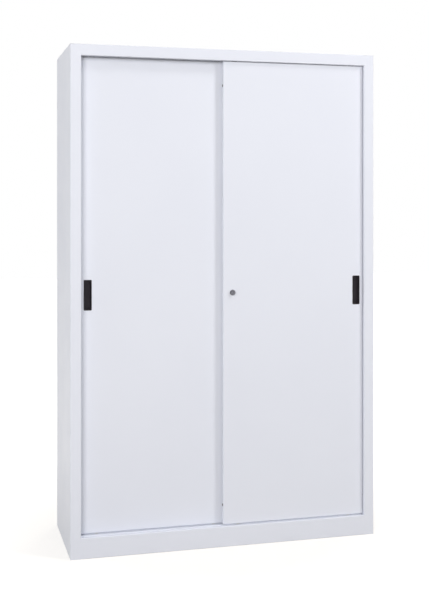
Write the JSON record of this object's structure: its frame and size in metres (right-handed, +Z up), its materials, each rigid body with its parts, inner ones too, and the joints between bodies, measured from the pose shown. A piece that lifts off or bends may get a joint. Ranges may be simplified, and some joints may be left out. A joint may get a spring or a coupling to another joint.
{
  "type": "sliding door cabinet",
  "caption": "Tall steel cupboard with sliding doors in a folded front frame, recessed black handles, a push lock and adjustable shelves on slotted uprights.",
  "frame": {"origin": "on the floor, under the middle of the cabinet's footprint", "axes": "+X to the right seen from the front, +Y from the front to the back, +Z up"},
  "size_m": [1.2, 0.45, 1.9],
  "materials": {
    "powder_coat": "satin white powder coat with a faint cool tint",
    "zinc_steel": "bright zinc plate",
    "black_plastic": "satin, near black",
    "nylon": "natural white nylon",
    "rubber": "matt grey",
    "lock_metal": "dark satin nickel plate"
  },
  "bodies": {
    "cabinet": {"side_panel_left": "powder_coat", "side_panel_right": "powder_coat", "top_panel": "powder_coat", "plinth": "powder_coat", "back_panel": "powder_coat", "floor_panel": "powder_coat", "top_track": "powder_coat", "track_stop": "rubber", "upright_front_left": "powder_coat", "upright_rear_left": "powder_coat", "upright_front_right": "powder_coat", "upright_rear_right": "powder_coat", "shelf_1": "powder_coat", "shelf_2": "powder_coat", "shelf_3": "powder_coat", "shelf_4": "powder_coat", "clip_1_front_left": "zinc_steel", "clip_1_rear_left": "zinc_steel", "clip_1_front_right": "zinc_steel", "clip_1_rear_right": "zinc_steel", "clip_2_front_left": "zinc_steel", "clip_2_rear_left": "zinc_steel", "clip_2_front_right": "zinc_steel", "clip_2_rear_right": "zinc_steel", "clip_3_front_left": "zinc_steel", "clip_3_rear_left": "zinc_steel", "clip_3_front_right": "zinc_steel", "clip_3_rear_right": "zinc_steel", "clip_4_front_left": "zinc_steel", "clip_4_rear_left": "zinc_steel", "clip_4_front_right": "zinc_steel", "clip_4_rear_right": "zinc_steel"},
    "left_door": {"left_door_panel": "powder_coat", "left_door_stiffener": "powder_coat", "left_door_handle": "black_plastic", "left_wheel_bracket_1": "zinc_steel", "left_wheel_bracket_2": "zinc_steel", "left_guide_1": "black_plastic", "left_guide_2": "black_plastic", "left_outer_buffer_lower": "rubber", "left_outer_buffer_upper": "rubber", "lock_strike": "zinc_steel"},
    "right_door": {"right_door_panel": "powder_coat", "right_door_stiffener": "powder_coat", "right_door_handle": "black_plastic", "right_wheel_bracket_1": "zinc_steel", "right_wheel_bracket_2": "zinc_steel", "right_guide_1": "black_plastic", "right_guide_2": "black_plastic", "right_outer_buffer_lower": "rubber", "right_outer_buffer_upper": "rubber", "right_inner_buffer_lower": "rubber", "right_inner_buffer_upper": "rubber", "lock_body": "lock_metal"},
    "left_wheel_a": {"left_wheel_1": "nylon"},
    "left_wheel_b": {"left_wheel_2": "nylon"},
    "right_wheel_a": {"right_wheel_1": "nylon"},
    "right_wheel_b": {"right_wheel_2": "nylon"},
    "lock_barrel": {"lock_barrel": "lock_metal"},
    "lock_plug": {"lock_plug": "lock_metal"}
  },
  "joints": [
    {"name": "left_door_slide", "type": "slide", "parent": "cabinet", "child": "left_door", "axis": [1, 0, 0], "range_m": [0, 0.493]},
    {"name": "right_door_slide", "type": "slide", "parent": "cabinet", "child": "right_door", "axis": [1, 0, 0], "range_m": [-0.544, 0]},
    {"name": "left_wheel_1_roll", "type": "hinge", "parent": "left_door", "child": "left_wheel_a", "pos_m": [-0.498, -0.1785, 0.0908], "axis": [0, 1, 0], "range_deg": [0, 2575]},
    {"name": "left_wheel_2_roll", "type": "hinge", "parent": "left_door", "child": "left_wheel_b", "pos_m": [-0.046, -0.1785, 0.0908], "axis": [0, 1, 0], "range_deg": [0, 2575]},
    {"name": "right_wheel_1_roll", "type": "hinge", "parent": "right_door", "child": "right_wheel_a", "pos_m": [0.046, -0.2025, 0.0908], "axis": [0, 1, 0], "range_deg": [-2840, 0]},
    {"name": "right_wheel_2_roll", "type": "hinge", "parent": "right_door", "child": "right_wheel_b", "pos_m": [0.498, -0.2025, 0.0908], "axis": [0, 1, 0], "range_deg": [-2840, 0]},
    {"name": "lock_push", "type": "slide", "parent": "right_door", "child": "lock_barrel", "axis": [0, 1, 0], "range_m": [0, 0.0056]},
    {"name": "lock_plug_turn", "type": "hinge", "parent": "lock_barrel", "child": "lock_plug", "pos_m": [0.023, -0.216, 0.9695], "axis": [0, 1, 0], "range_deg": [0, 90]}
  ],
  "couplings": [
    {"joint": "left_wheel_1_roll", "follows": "left_door_slide", "rad_per_m": 90.909},
    {"joint": "left_wheel_2_roll", "follows": "left_door_slide", "rad_per_m": 90.909},
    {"joint": "right_wheel_1_roll", "follows": "right_door_slide", "rad_per_m": 90.909},
    {"joint": "right_wheel_2_roll", "follows": "right_door_slide", "rad_per_m": 90.909}
  ]
}
